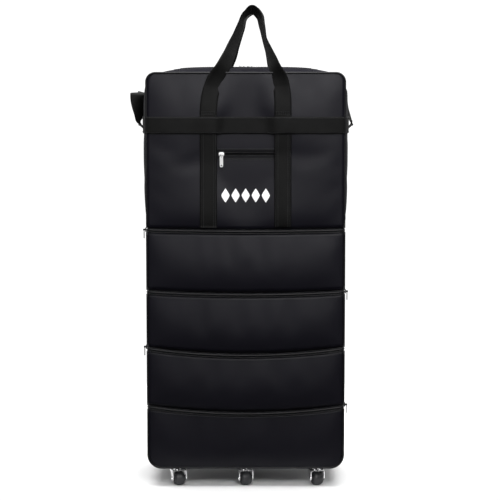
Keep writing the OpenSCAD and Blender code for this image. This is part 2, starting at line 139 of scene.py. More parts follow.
class Build:
    """Collects faces, each with a material number and UVs in metres, and makes one object of them."""

    def __init__(self):
        self.points, self.faces, self.uvs, self.kinds = [], [], [], []

    def add(self, points, faces, uvs, kind):
        base = len(self.points)
        self.points.extend(map(tuple, points))
        for face in faces:
            self.faces.append([base + i for i in face])
            self.uvs.extend(tuple(uvs[i]) for i in face)
            self.kinds.append(kind)

    def grid(self, p, kind=0, wrap=False, skip=None):
        """Rows by columns of points. UVs are the distances along the middle row and one column."""
        rows, cols = p.shape[:2]
        if wrap:
            p = np.concatenate([p, p[:, :1]], 1)
        wide = p.shape[1]
        u = lengths(p[rows // 2])
        v = lengths(p[:, wide // 3])
        uvs = [(u[c], v[r]) for r in range(rows) for c in range(wide)]
        base = len(self.points)
        self.points.extend(map(tuple, p[:, :cols].reshape(-1, 3)))
        for r in range(rows - 1):
            for c in range(cols if wrap else cols - 1):
                if skip is not None and skip[r, c]:
                    continue
                d = (c + 1) % cols
                self.faces.append([base + r * cols + c, base + r * cols + d,
                                   base + (r + 1) * cols + d, base + (r + 1) * cols + c])
                self.uvs.extend(uvs[i] for i in (r * wide + c, r * wide + c + 1,
                                                 (r + 1) * wide + c + 1, (r + 1) * wide + c))
                self.kinds.append(kind)

    def sweep(self, path, side, face, outline, kind, closed=False):
        """An outline of (side, face) offsets carried along a path."""
        path, n = np.array(path, float), len(outline)
        ring = np.array(outline, float)
        p = path[:, None] + ring[None, :, :1] * side[:, None] + ring[None, :, 1:] * face[:, None]
        along = lengths(path)
        round_it = lengths(np.vstack([np.c_[ring, np.zeros(n)], np.append(ring[0], 0)]))
        uvs = [(round_it[c], along[r]) for r in range(len(path)) for c in range(n + 1)]
        base = len(self.points)
        self.points.extend(map(tuple, p.reshape(-1, 3)))
        for r in range(len(path) if closed else len(path) - 1):
            s = (r + 1) % len(path)
            for c in range(n):
                d = (c + 1) % n
                self.faces.append([base + r * n + c, base + r * n + d, base + s * n + d, base + s * n + c])
                top = min(r + 1, len(path) - 1)
                self.uvs.extend(uvs[i] for i in (r * (n + 1) + c, r * (n + 1) + c + 1,
                                                 top * (n + 1) + c + 1, top * (n + 1) + c))
                self.kinds.append(kind)
        if not closed:
            for ends in (range(n), range((len(path) - 1) * n, len(path) * n)):
                self.faces.append([base + i for i in ends])
                self.uvs.extend((0.0, 0.0) for _ in ends)
                self.kinds.append(kind)

    def tube(self, path, radius, kind, sides=8, closed=False):
        path = np.array(path, float)
        along = directions(path, closed)
        side = np.zeros_like(path)
        last = unit(np.cross(along[0], (0.31, 0.87, 0.38)))
        for i, a in enumerate(along):
            last = unit(last - (last @ a) * a)
            side[i] = last
        turn = np.linspace(0, 2 * math.pi, sides, endpoint=False)
        outline = np.stack([radius * np.cos(turn), radius * np.sin(turn)], 1)
        self.sweep(path, side, np.cross(along, side), outline, kind, closed)

    def ribbon(self, path, across, width, thick, kind, columns=8, bow=0.0):
        """Flat webbing with rounded edges; across is the direction of its width at each point."""
        path = np.array(path, float)
        along = directions(path)
        side = unit(across - np.sum(across * along, 1, keepdims=True) * along)
        face = np.cross(along, side)
        x = np.linspace(-0.5, 0.5, columns + 1)
        edge = np.sqrt(np.clip(1 - np.maximum(np.abs(x) - 0.46, 0) / 0.04, 0.2, 1))
        arch = bow * (1 - (2 * x) ** 2)
        top = np.stack([x * width, arch + thick / 2 * edge], 1)
        low = np.stack([x * width, arch - thick / 2 * edge], 1)
        self.sweep(path, side, face, np.concatenate([top, low[::-1]]), kind)

    def blocks(self, points, along, normal, size, kind):
        """A small bar at each point: size is (along, across, high), and it stands on the point."""
        points, along, normal = (np.array(v, float) for v in (points, along, normal))
        across = unit(np.cross(normal, along))
        high = unit(np.cross(along, across))
        a, b, h = size
        for p, u, v, w in zip(points, along, across, high):
            c = [p + su * a / 2 * u + sv * b / 2 * v + sw * h * w
                 for sw, k in ((0, 1), (1, 0.7)) for su, sv in ((-k, -k), (k, -k), (k, k), (-k, k))]
            self.add(c, [(0, 1, 5, 4), (1, 2, 6, 5), (2, 3, 7, 6), (3, 0, 4, 7), (4, 5, 6, 7)],
                     [(0, 0)] * 8, kind)

    def stitches(self, path, normal, kind, pitch=4.0 * MM, length=2.9 * MM, r=0.5 * MM):
        """A line of separate thread stitches lying on a surface."""
        path, normal = np.array(path, float), np.array(normal, float)
        points, along = resample(path, pitch)
        if normal.ndim == 1:
            normal = np.repeat(normal[None], len(path), 0)
        up = unit(read_off(normal, path, pitch))
        across = unit(np.cross(up, along))
        for p, u, v, w in zip(points, along, across, up):
            c = [p - u * length / 2, p + u * length / 2, p - v * r, p + v * r, p + w * r, p - w * r]
            self.add(c, [(0, 4, 3), (0, 2, 4), (1, 3, 4), (1, 4, 2), (0, 3, 5), (0, 5, 2),
                         (1, 5, 3), (1, 2, 5)], [(0, 0)] * 6, kind)

    def make(self, name, materials):
        mesh = bpy.data.meshes.new(name)
        mesh.from_pydata(self.points, [], self.faces)
        layer = mesh.uv_layers.new(name="metres")
        layer.data.foreach_set("uv", np.array(self.uvs, np.float32).ravel())
        for m in materials:
            mesh.materials.append(m)
        mesh.polygons.foreach_set("material_index", np.array(self.kinds, np.int32))
        mesh.polygons.foreach_set("use_smooth", np.ones(len(self.faces), bool))
        mesh.update()
        return placed(name, mesh)


def directions(path, closed=False):
    ahead, behind = np.roll(path, -1, 0), np.roll(path, 1, 0)
    if not closed:
        ahead[-1], behind[0] = path[-1], path[0]
    return unit(ahead - behind)


def thicken(obj, thickness):
    """Real cloth thickness behind the outer face."""
    mod = obj.modifiers.new("thickness", "SOLIDIFY")
    mod.thickness, mod.offset, mod.use_rim = thickness, -1, True


# ---- Cloth ----

def inflate(grid, pins, pressure, spare, most, frames=22, wrap=False, gravity=0.35):
    """Fills a pinned sheet with air in Blender's cloth solver and gives the grid of points back.
    pins holds a weight per point, spare the extra cloth, and most the farthest that a point may move."""
    build = Build()
    build.grid(grid, wrap=wrap)
    obj = build.make("cloth", [])
    group = obj.vertex_groups.new(name="pins")
    for i, weight in enumerate(pins.ravel()):
        if weight > 0:
            group.add([i], float(weight), "REPLACE")
    mod = obj.modifiers.new("cloth", "CLOTH")
    s = mod.settings
    s.vertex_group_mass = "pins"
    s.quality = 6
    s.mass = 0.25
    s.tension_stiffness = s.compression_stiffness = 25
    s.shear_stiffness = 12
    s.bending_stiffness = 4.0
    s.use_pressure = True
    s.uniform_pressure_force = pressure
    s.shrink_min = -spare
    s.effector_weights.gravity = gravity
    mod.collision_settings.use_collision = False
    mod.point_cache.frame_end = frames
    scene = bpy.context.scene
    for f in range(1, frames + 1):
        scene.frame_set(f)
    done = obj.evaluated_get(bpy.context.evaluated_depsgraph_get())
    flat = np.zeros(len(obj.data.vertices) * 3, np.float32)
    done.data.vertices.foreach_get("co", flat)
    bpy.data.objects.remove(obj)
    scene.frame_set(1)
    move = flat.reshape(grid.shape).astype(float) - grid
    far = np.linalg.norm(move, axis=2, keepdims=True)
    most = np.broadcast_to(np.asarray(most, float), grid.shape[:2])[:, :, None]
    return grid + move * (most * np.tanh(far / most) / np.maximum(far, 1e-9))


def soften(grid, rounds):
    """Takes the smallest puckers out of a sheet, as its padding does."""
    for _ in range(rounds):
        beside = (np.roll(grid, 1, 1) + np.roll(grid, -1, 1)) / 2
        above = (np.roll(grid, 1, 0) + np.roll(grid, -1, 0)) / 2
        move = 0.25 * (beside + above - 2 * grid)
        move[[0, -1]] = move[:, [0, -1]] = 0
        grid = grid + move
    return grid


# ---- Materials ----

def new_material(name):
    mat = bpy.data.materials.new(name)
    mat.use_nodes = True
    tree = mat.node_tree
    shader = tree.nodes["Principled BSDF"]
    return mat, tree, shader


class Nodes:
    """Short forms for the few nodes that the materials use."""

    def __init__(self, tree):
        self.tree = tree

    def node(self, kind, **values):
        node = self.tree.nodes.new(kind)
        for key, value in values.items():
            if hasattr(node, key):
                setattr(node, key, value)
            else:
                self.set(node.inputs[key.replace("_", " ").title()], value)
        return node

    def set(self, socket, value):
        if isinstance(value, bpy.types.NodeSocket):
            self.tree.links.new(value, socket)
        else:
            socket.default_value = value

    def coords(self, kind):
        return self.node("ShaderNodeTexCoord").outputs[kind]

    def wave(self, vector, direction, pitch, distortion=0.0):
        out = self.node("ShaderNodeTexWave", bands_direction=direction, vector=vector,
                        scale=2 * math.pi / (20 * pitch), distortion=distortion)
        return out.outputs["Fac"]

    def noise(self, vector, scale, detail=3.0):
        return self.node("ShaderNodeTexNoise", vector=vector, scale=scale, detail=detail).outputs["Fac"]

    def math(self, operation, a, b=0.0):
        node = self.node("ShaderNodeMath", operation=operation)
        self.set(node.inputs[0], a)
        self.set(node.inputs[1], b)
        return node.outputs[0]

    def mix(self, factor, a, b):
        node = self.node("ShaderNodeMix", data_type="RGBA")
        self.set(node.inputs["Factor"], factor)
        self.set(node.inputs[6], (*a, 1) if isinstance(a, tuple) else a)
        self.set(node.inputs[7], (*b, 1) if isinstance(b, tuple) else b)
        return node.outputs[2]

    def span(self, value, low, high, start=0.0, end=1.0, kind="LINEAR"):
        """The value from start to end, mapped to low to high."""
        node = self.node("ShaderNodeMapRange", interpolation_type=kind, value=value)
        for name, number in zip(("From Min", "From Max", "To Min", "To Max"), (start, end, low, high)):
            node.inputs[name].default_value = number
        return node.outputs["Result"]

    def bump(self, height, distance, strength=1.0, under=None):
        node = self.node("ShaderNodeBump")
        node.inputs["Strength"].default_value = strength
        node.inputs["Distance"].default_value = distance
        self.set(node.inputs["Height"], height)
        if under is not None:
            self.set(node.inputs["Normal"], under)
        return node.outputs["Normal"]


def woven(name, dark, light, pitch, roughness, relief, gloss, crease=0.0):
    """Plain weave of two threads in UV metres, with soft creases and slight patches of colour."""
    mat, tree, shader = new_material(name)
    n = Nodes(tree)
    uv, place = n.coords("UV"), n.coords("Object")
    warp, weft = n.wave(uv, "X", pitch, 0.4), n.wave(uv, "Y", pitch, 0.4)
    weave = n.math("MULTIPLY", n.math("SUBTRACT", warp, 0.5), n.math("SUBTRACT", weft, 0.5))
    weave = n.span(weave, 0.5, 1.5)
    patch = n.noise(place, 9.0)
    fleck = n.noise(uv, 900.0, 2.0)
    tone = n.math("ADD", n.math("MULTIPLY", patch, 0.6), n.math("MULTIPLY", fleck, 0.4))
    n.set(shader.inputs["Base Color"], n.mix(tone, dark, light))
    n.set(shader.inputs["Roughness"], n.span(n.noise(place, 30.0), roughness - 0.06, roughness + 0.06))
    shader.inputs["Specular IOR Level"].default_value = gloss
    shader.inputs["Sheen Weight"].default_value = 0.01
    normal = n.bump(weave, relief, 0.6)
    if crease:
        soft = n.node("ShaderNodeTexNoise", vector=place, scale=17.0, detail=4.0, distortion=0.6)
        normal = n.bump(soft.outputs["Fac"], crease, 0.5, under=normal)
    n.set(shader.inputs["Normal"], normal)
    return mat


def ribbed(name, dark, light, rib, roughness):
    """Webbing: ribs across its length, with a fine herringbone along it."""
    mat, tree, shader = new_material(name)
    n = Nodes(tree)
    uv, place = n.coords("UV"), n.coords("Object")
    ribs, threads = n.wave(uv, "Y", rib, 0.3), n.wave(uv, "X", rib * 1.6, 0.3)
    weave = n.math("ADD", n.math("MULTIPLY", ribs, 0.6), n.math("MULTIPLY", threads, 0.4))
    n.set(shader.inputs["Base Color"], n.mix(n.math("MULTIPLY", weave, n.noise(place, 40.0)), dark, light))
    n.set(shader.inputs["Roughness"], n.span(weave, roughness + 0.08, roughness - 0.04))
    shader.inputs["Specular IOR Level"].default_value = 0.10
    shader.inputs["Sheen Weight"].default_value = 0.01
    n.set(shader.inputs["Normal"], n.bump(weave, 0.3 * MM, 0.7))
    return mat


def moulded(name, colour, roughness, grain=0.05 * MM, scale=400.0, metallic=0.0):
    """Moulded, painted or plated surface with a fine grain and uneven gloss."""
    mat, tree, shader = new_material(name)
    n = Nodes(tree)
    place = n.coords("Object")
    worn = n.noise(place, 60.0, 5.0)
    lighter = tuple(min(1.0, c * 1.35 + 0.004) for c in colour)
    n.set(shader.inputs["Base Color"], n.mix(worn, colour, lighter))
    n.set(shader.inputs["Roughness"], n.span(worn, roughness * 0.8, roughness * 1.25))
    shader.inputs["Metallic"].default_value = metallic
    n.set(shader.inputs["Normal"], n.bump(n.noise(place, scale, 2.0), grain, 0.4))
    return mat


BLACK, BLACK_WORN = (0.0026, 0.0023, 0.0048), (0.0056, 0.0052, 0.0092)
FABRIC = woven("fabric_oxford", BLACK, BLACK_WORN, 0.9 * MM, 0.50, 0.12 * MM, 0.18, crease=0.8 * MM)
CROWN_CLOTH = woven("fabric_crown", BLACK, BLACK_WORN, 0.9 * MM, 0.75, 0.12 * MM, 0.02, crease=0.8 * MM)
LINING = woven("fabric_lining", (0.006, 0.006, 0.007), (0.011, 0.011, 0.012), 0.6 * MM, 0.6, 0.08 * MM, 0.1)
BINDING = woven("fabric_binding", (0.003, 0.003, 0.004), (0.007, 0.007, 0.008), 0.7 * MM, 0.42, 0.1 * MM, 0.2)
STRAP = ribbed("webbing_ribbed", (0.0026, 0.0026, 0.0026), (0.0100, 0.0100, 0.0098), 1.3 * MM, 0.58)
TAPE = woven("zip_tape", (0.004, 0.004, 0.005), (0.009, 0.009, 0.010), 0.5 * MM, 0.6, 0.08 * MM, 0.05)
TEETH = moulded("zip_teeth_nylon", (0.006, 0.006, 0.007), 0.32)
THREAD = moulded("thread", (0.020, 0.020, 0.022), 0.45, scale=3000.0)
CHROME = moulded("chrome_plate", (0.80, 0.80, 0.82), 0.13, 0.02 * MM, 900.0, metallic=1.0)
NICKEL = moulded("nickel_plate", (0.80, 0.80, 0.79), 0.28, 0.02 * MM, 1200.0, metallic=0.65)
BLACKENED = moulded("black_wire", (0.010, 0.010, 0.011), 0.65, 0.02 * MM, 900.0)
RUBBER = moulded("wheel_rubber", (0.013, 0.013, 0.015), 0.42, 0.05 * MM, 700.0)
BOARD = moulded("base_board", (0.02, 0.02, 0.021), 0.6)
PRINT = moulded("print_ink", (0.82, 0.82, 0.82), 0.45, 0.03 * MM, 1500.0)

# ---- CAD nodes that stay, with their finishes ----

FINISH = {"caster_wheel": RUBBER, "caster": CHROME, "tier_slider": BLACKENED, "tier_pull": BLACKENED,
          "main_": NICKEL, "pocket_slider": NICKEL, "pocket_pull": NICKEL, "side_rings": BLACKENED,
          "base_board": BOARD}
for name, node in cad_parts.items():
    kind = next((FINISH[k] for k in FINISH if name.startswith(k)), None)
    if kind:
        node.data.materials.clear()
        node.data.materials.append(kind)

# ---- Outline of the bag ----

# Columns of points across the front and a side, and steps round an upright corner
FRONT_COLS, SIDE_COLS, TURN = 56, 30, 3
CORNER_R = 5 * MM
# The piping's radius, and how far its middle stands out of the wall
PIPE_R, PIPE_OUT = 2.4 * MM, 0.2 * MM


def plan_loop():
    """Points round the bag from above, from the front left corner, with a share 0 to 1 across each
    front or back face (-1 on a side) and whether the point is on a corner."""
    points, across, corner = [], [], []
    w, d, r = HALF_W, HALF_D, CORNER_R
    faces = [((-w, -d), (1, 0), 2 * w, FRONT_COLS), ((w, -d), (0, 1), 2 * d, SIDE_COLS),
             ((w, d), (-1, 0), 2 * w, FRONT_COLS), ((-w, d), (0, -1), 2 * d, SIDE_COLS)]
    for k, (start, way, size, cols) in enumerate(faces):
        for c in range(cols + 1):
            s = r + (size - 2 * r) * c / cols
            points.append((start[0] + way[0] * s, start[1] + way[1] * s))
            across.append(s / size if k % 2 == 0 else -1)
            corner.append(c in (0, cols))
        out = (way[1], -way[0])
        turn = (start[0] + way[0] * (size - r) - out[0] * r, start[1] + way[1] * (size - r) - out[1] * r)
        for j in range(1, TURN):
            a = j / TURN * math.pi / 2
            points.append((turn[0] + r * (math.sin(a) * way[0] + math.cos(a) * out[0]),
                           turn[1] + r * (math.sin(a) * way[1] + math.cos(a) * out[1])))
            across.append(1 if k % 2 == 0 else -1)
            corner.append(True)
    return np.array(points), np.array(across), np.array(corner)


PLAN, ACROSS, CORNER = plan_loop()
OUTWARD = unit(np.roll(PLAN, -1, 0) - np.roll(PLAN, 1, 0)) @ np.array([[0, -1], [1, 0]])
BEHIND = PLAN[:, 1] > 0


def belly(across):
    """0 at a face's corners and on the sides, 1 in its middle."""
    return np.where(across < 0, 0, 1 - (2 * np.clip(across, 0, 1) - 1) ** 2)


def seam_line(seam):
    """Points round the bag along a seam's middle, sagging and standing out at the front and back."""
    swell = SEAM_SWELL[seam] * belly(ACROSS) * np.where(BEHIND, 0.35, 1)
    xy = PLAN + OUTWARD * swell[:, None]
    return np.c_[xy, SEAM_Z[seam] - SEAM_DROP[seam] - DROOP[seam] * belly(ACROSS)]


def narrowing(z):
    """Half the bag's width at a height, with its round bottom and top corners."""
    low = np.clip((BASE_Z + BOTTOM_R - z) / BOTTOM_R, 0, 1)
    high = np.clip((z - TOP_Z + TOP_R) / TOP_R, 0, 1)
    return HALF_W - BOTTOM_R * (1 - np.sqrt(1 - low**2)) - TOP_R * (1 - np.sqrt(1 - high**2))


def edge_rows(low, high, bottom_r=0.0, top_r=0.0, rows=16, turns=6):
    """Shares of a height for the rows of a panel, closer together round its corners."""
    size = high - low
    a = np.linspace(0, math.pi / 2, turns)
    start = bottom_r * (1 - np.cos(a)) / size if bottom_r else np.array([0.0])
    end = 1 - top_r * (1 - np.cos(a[::-1])) / size if top_r else np.array([1.0])
    middle = np.linspace(start[-1], end[0], rows)[1:-1]
    return np.concatenate([start, middle, end])


# ---- Folding tiers ----

def sleeve_grid(tier):
    """One tier's sleeve of padded fabric, filled out between its seams and its four corners."""
    lower, upper = seam_line(tier - 1), seam_line(tier)
    lower[:, 2] += SEAM_H / 2 + 0.4 * MM if tier > 1 else 0
    upper[:, 2] -= SEAM_H / 2 - 1 * MM
    share = edge_rows(SEAM_Z[tier - 1], SEAM_Z[tier], BOTTOM_R if tier == 1 else 0)
    grid = lower[None] + (upper - lower)[None] * share[:, None, None]
    if tier == 1:
        grid[:, :, 0] *= (narrowing(grid[:, :, 2]) / HALF_W)
    puff = np.sin(math.pi * share)[:, None] * np.where(CORNER, 0, 1)[None]
    side = 1 - (2 * np.clip((PLAN[:, 1] + HALF_D) / (2 * HALF_D), 0, 1) - 1) ** 2
    face = (0.25 + 0.75 * belly(ACROSS)) * np.where(BEHIND, 0.6, 1)
    face = np.where(ACROSS < 0, 0.5 * side, face)
    reach = np.where(ACROSS < 0, 5 * MM, np.where(BEHIND, 5 * MM, 8 * MM))
    start = 4.5 * MM
    grid[:, :, :2] += OUTWARD[None] * (start * puff * face[None])[:, :, None]
    pins = np.zeros(grid.shape[:2])
    pins[[0, -1]] = 1
    pins[:, CORNER] = 1
    grid = inflate(grid, pins, pressure=4.5, spare=0.008, most=reach, wrap=True)
    grid[1:-1, ~CORNER] = soften(grid, 6)[1:-1, ~CORNER]
    return grid


def corner_paths(tier, grid):
    """Lines for the piping: up the four corners, or round the lowest tier's front and back edges."""
    z = np.linspace(grid[:, 0, 2].min(), grid[:, 0, 2].max(), 14)
    if tier > 1:
        return [[(sx * (HALF_W + PIPE_OUT), sy * (HALF_D + PIPE_OUT), h) for h in z]
                for sx in (-1, 1) for sy in (-1, 1)]
    turn = np.linspace(0, math.pi / 2, 9)
    paths = []
    for sy in (-1, 1):
        y = sy * (HALF_D + PIPE_OUT)
        side = [(HALF_W, y, h) for h in z[::-1] if h > BASE_Z + BOTTOM_R]
        arc = [(HALF_W - BOTTOM_R * (1 - math.cos(a)), y, BASE_Z + BOTTOM_R * (1 - math.sin(a)) + 0.6 * MM)
               for a in turn]
        flat = [(x, y, BASE_Z + 0.6 * MM) for x in np.linspace(HALF_W - BOTTOM_R, 0, 12)[1:]]
        half = side + arc + flat
        paths.append(half + [(-x, yy, h) for x, yy, h in half[::-1][1:]])
    return paths


def tier_sleeve(tier):
    """The sleeve with its corner piping."""
    grid = sleeve_grid(tier)
    build = Build()
    build.grid(grid, wrap=True)
    for path in corner_paths(tier, grid):
        build.tube(path, PIPE_R, 1)
    sleeve = build.make(f"tier_{tier}_sleeve", [FABRIC, BINDING])
    thicken(sleeve, 1.6 * MM)
    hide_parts(f"tier_wall_{tier}")
    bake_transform(sleeve)


for tier in range(1, TIERS + 1):
    tier_sleeve(tier)

# ---- Seams: flange, overlapping welt and two rows of zip teeth ----

# A seam's outline, as millimetres out from the wall and up from its middle
SEAM_PROFILE = [(-3.4, 6.0), (-2.6, 5.4), (-2.6, 1.8), (0.6, 1.9), (2.4, 1.7), (3.5, 0.9), (3.9, -0.3),
                (3.5, -1.5), (2.4, -2.3), (0.4, -2.5), (0.2, -3.6), (1.8, -3.7), (2.9, -4.2),
                (3.2, -5.0), (2.8, -5.8), (1.4, -6.3), (-2.0, -6.4)]


def seam_ring(seam):
    line = seam_line(seam)
    out = np.c_[OUTWARD, np.zeros(len(OUTWARD))]
    up = np.tile((0.0, 0.0, 1.0), (len(line), 1))
    proud = 0.55 + 0.75 * np.sqrt(belly(ACROSS))
    profile = np.array(SEAM_PROFILE) * MM
    p = line[:, None] + profile[None, :, :1] * (out * proud[:, None])[:, None] \
        + profile[None, :, 1:] * up[:, None]
    build = Build()
    build.grid(p[:, ::-1].transpose(1, 0, 2), 0, wrap=True)
    closed = np.vstack([line, line[:1]])
    normal = np.vstack([out, out[:1]])
    for drop, deep in ((2.7, -2.6), (-3.1, 0.2)):
        row = closed + (0, 0, drop * MM) + normal * deep * MM * 0.6
        points, along = resample(row, 2.0 * MM)
        n = unit(read_off(normal, row, 2.0 * MM))
        build.blocks(points, along, n, (1.3 * MM, 1.5 * MM, 1.3 * MM), 1)
    ring = build.make(f"seam_{seam}_zip", [BINDING, TEETH])
    body = "top_section" if seam == TIERS else f"ring_{seam}"
    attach(ring, body)
    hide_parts(f"tier_zip_{seam}")


for seam in range(1, TIERS + 1):
    seam_ring(seam)

# ---- Top section ----

# Lower edge of its cloth, and half the height of the opening behind the pocket zip
TOP_LOW = SEAM_Z[TIERS] + SEAM_H / 2 - 1 * MM
SLIT = 2.6 * MM


def crown(x, y):
    """Rise of the top above the panels' upper edges."""
    along = np.clip(1 - np.abs(x / CROWN_END) ** 5, 0, 1)
    share = np.clip(1 - np.abs(y) / HALF_D, 0, 1)
    return CROWN * along * (1 - (1 - share) ** 2.1)


def panel_grid(side):
    """Front (-1) or back (1) panel, held at its edges and flattened under its webbing."""
    cols = np.unique(np.round(np.concatenate([
        np.linspace(-HALF_W, HALF_W, 57), [-POCKET_X, POCKET_X]]), 5))
    cols = cols[np.concatenate([[True], np.diff(cols) > 2 * MM])]
    low, high = TOP_LOW, TOP_Z
    rows = low + (high - low) * edge_rows(low, high, top_r=TOP_R, rows=40)
    for z in (POCKET_Z - SLIT, POCKET_Z + SLIT):
        rows[np.argmin(np.abs(rows - z))] = z
    rows = np.unique(rows)
    x, z = np.meshgrid(cols, rows)
    across = (x / HALF_W + 1) / 2
    sink = 1 - smoothstep((z - low) / 0.10)
    hang = z - DROOP[TIERS] * belly(across) * sink
    y = HALF_D + SEAM_SWELL[TIERS] * belly(across) * sink
    share = (z - low) / (high - low)
    flat = smoothstep((np.abs(x) / POCKET_X - 1) / 0.7 + np.clip(np.abs(z - POCKET_Z) / MM - 48, 0, 60) / 60)
    start = 6 * MM
    y = y + start * (belly(across) * 0.7 + 0.3) * np.sqrt(np.clip(np.sin(math.pi * share), 0, 1)) \
        * (belly(across) > 0) * (0.12 + 0.88 * flat)
    wide = x * narrowing(z) / HALF_W
    grid = np.stack([wide, -y, hang], 2)
    pins = np.zeros(x.shape)
    pins[[0, -1]] = 1
    pins[:, [0, -1]] = 1
    webbed = (np.abs(np.abs(x) - HANDLE_X) < WEBBING / 2) & (z < HANDLE_Z)
    banded = (z > BAND_LOW) & (z < BAND_HIGH)
    pins = np.maximum(pins, 0.06 * webbed + 0.06 * banded)
    slit = (np.abs(x) < POCKET_X + 1e-4) & (np.abs(z - POCKET_Z) < SLIT + 1e-4) & (side < 0)
    pins[slit] = 1
    grid = inflate(grid, pins, pressure=3.2, spare=0.006, most=(1.0 + 8.0 * flat) * MM)
    grid[1:-1, 1:-1] = soften(grid, 6)[1:-1, 1:-1]
    skip = slit[:-1, :-1] & slit[1:, 1:]
    if side > 0:
        grid = grid * (-1, -1, 1)
    return grid, skip


def outline_path(side, inset=0.0):
    """Along a top panel's piped edge: up one side, over the top and down the other."""
    y = side * (HALF_D + PIPE_OUT)
    w, top, r = HALF_W - inset, TOP_Z - inset, TOP_R - inset
    rise = [(w, y, z) for z in np.linspace(TOP_LOW, top - r, 24)]
    arc = [(w - r * (1 - math.cos(a)), y, top - r * (1 - math.sin(a)))
           for a in np.linspace(0, math.pi / 2, 9)[1:]]
    flat = [(x, y, top) for x in np.linspace(w - r, 0, 16)[1:]]
    half = rise + arc + flat
    return np.array(half + [(-x, yy, z) for x, yy, z in half[::-1][1:]])


def top_panel(side, name):
    """A panel with its piping; gives back its surface, for what lies on it."""
    grid, skip = panel_grid(side)
    build = Build()
    build.grid(grid, skip=skip)
    surface = BVHTree.FromPolygons(build.points, build.faces)
    build.tube(outline_path(side), PIPE_R, 1)
    build.tube(outline_path(side, PIPE_R / 2) - (0, side * PIPE_R, 0), 1.1 * MM, 1)
    panel = build.make(f"{name}_panel_padded", [FABRIC, BINDING])
    thicken(panel, 1.8 * MM)
    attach(panel, "top_section")
    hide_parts(f"{name}_panel")
    return surface


surfaces = {-1: top_panel(-1, "front"), 1: top_panel(1, "back")}


def on_panel(x, z, side, lift):
    """Point at x, z that lies lift above the front or back panel."""
    hit = surfaces[side].ray_cast(Vector((x, side * 0.3, z)), Vector((0, -side, 0)))
    y = hit[0].y if hit[0] is not None else side * HALF_D
    return (x, y + side * lift, z)


def gusset_grid(side):
    """Side of the top section with its round corner and its part of the crown."""
    rise = [(HALF_W, z) for z in np.linspace(TOP_LOW, TOP_Z - TOP_R, 34)]
    arc = [(HALF_W - TOP_R * (1 - math.cos(a)), TOP_Z - TOP_R * (1 - math.sin(a)))
           for a in np.linspace(0, math.pi / 2, 8)[1:]]
    flat = [(x, TOP_Z) for x in np.linspace(HALF_W - TOP_R, MOUTH_X + 0.5 * MM, 8)[1:]]
    rows = np.array(rise + arc + flat)
    ys = np.linspace(-HALF_D, HALF_D, 31)
    grid = np.zeros((len(rows), len(ys), 3))
    grid[:, :, 0] = side * rows[:, :1]
    grid[:, :, 1] = side * ys[None]
    grid[:, :, 2] = rows[:, 1:] + crown(rows[:, :1], ys[None])
    up = np.clip(np.arange(len(rows)) / len(rise), 0, 1)
    swell = np.sin(math.pi * up)[:, None] ** 0.6 * (1 - (ys[None] / HALF_D) ** 2)
    grid[:, :, 0] += side * 5 * MM * swell
    pins = np.zeros(grid.shape[:2])
    pins[[0, -1]] = 1
    pins[:, [0, -1]] = 1
    pins[len(rise) + 3:] = 1
    return inflate(grid, pins, pressure=3.0, spare=0.012, most=8 * MM)


def gusset(side, name):
    """A gusset with the end of the zip's tapes; gives back its surface, for what lies on it."""
    build = Build()
    build.grid(gusset_grid(side))
    surface = BVHTree.FromPolygons(build.points, build.faces)
    end = side * (MOUTH_X + 0.5 * MM)
    tape = [[(end + side * k * MM, s * w * MM, TOP_Z + crown(end + side * k * MM, s * w * MM) + 0.7 * MM)
             for k in (0, 7, 14)] for s, w in ((-side, 13), (-side, 5), (side, 5), (side, 13))]
    build.grid(np.array(tape), 1)
    # The top's part has the crown's duller cloth
    build.kinds = [2 if k == 0 and min(build.points[i][2] for i in f) > TOP_Z - TOP_R / 2 else k
                   for k, f in zip(build.kinds, build.faces)]
    obj = build.make(f"{name}_gusset_padded", [FABRIC, TAPE, CROWN_CLOTH])
    thicken(obj, 1.8 * MM)
    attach(obj, "top_section")
    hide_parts(f"{name}_gusset")
    return surface


sides = {-1: gusset(-1, "left"), 1: gusset(1, "right")}

# ---- Mouth flaps with the main zip ----

def mouth_flap(side, name):
    """Half of the crowned top with its zip tape, the fold over the tape, the zip teeth and stitches."""
    xs = np.linspace(-MOUTH_X, MOUTH_X, 61)
    ys = np.linspace(HALF_D - 1.5 * MM, 0.5 * MM, 26)
    x, y = np.meshgrid(xs, ys)
    fade = np.sin(math.pi * y / HALF_D)
    wave = 0.9 * MM * np.sin(x * 55 + 9 * y) * fade + 0.6 * MM * np.sin(x * 23 - 31 * y + 1.3) * fade
    build = Build()
    build.grid(np.stack([-side * x, side * y, TOP_Z + crown(x, y) + wave], 2), 0)
    for low, high, lift, kind in ((15, 2.4, 0.6, 1), (16, 14.6, 1.0, 2)):
        x, y = np.meshgrid(xs, np.linspace(low, high, 5) * MM)
        build.grid(np.stack([-side * x, side * y, TOP_Z + crown(x, y) + lift * MM], 2), kind)
    row = [(v, side * 1.5 * MM, TOP_Z + crown(v, 1.5 * MM) + 0.3 * MM) for v in xs]
    points, along = resample(row, 2.0 * MM)
    build.blocks(points, along, (0, 0, 1), (1.3 * MM, 2.2 * MM, 1.5 * MM), 3)
    for inset in (5, 13):
        line = [(v, side * inset * MM, TOP_Z + crown(v, inset * MM) + 0.9 * MM) for v in xs]
        build.stitches(line, (0, 0, 1), 4)
    flap = build.make(f"{name}_mouth_flap", [CROWN_CLOTH, TAPE, TAPE, TEETH, THREAD])
    thicken(flap, 1.2 * MM)
    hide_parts(f"{name}_flap")
    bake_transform(flap)


mouth_flap(-1, "front")
mouth_flap(1, "rear")

# ---- Waist band ----

def across_panel(x, z, side, lift):
    """A place over the front or back panel where a strip's whole width is clear of it."""
    shares = (-0.45, -0.2, 0, 0.2, 0.45)
    return x, side * max(side * on_panel(x + k * WEBBING, z, side, lift)[1] for k in shares), z


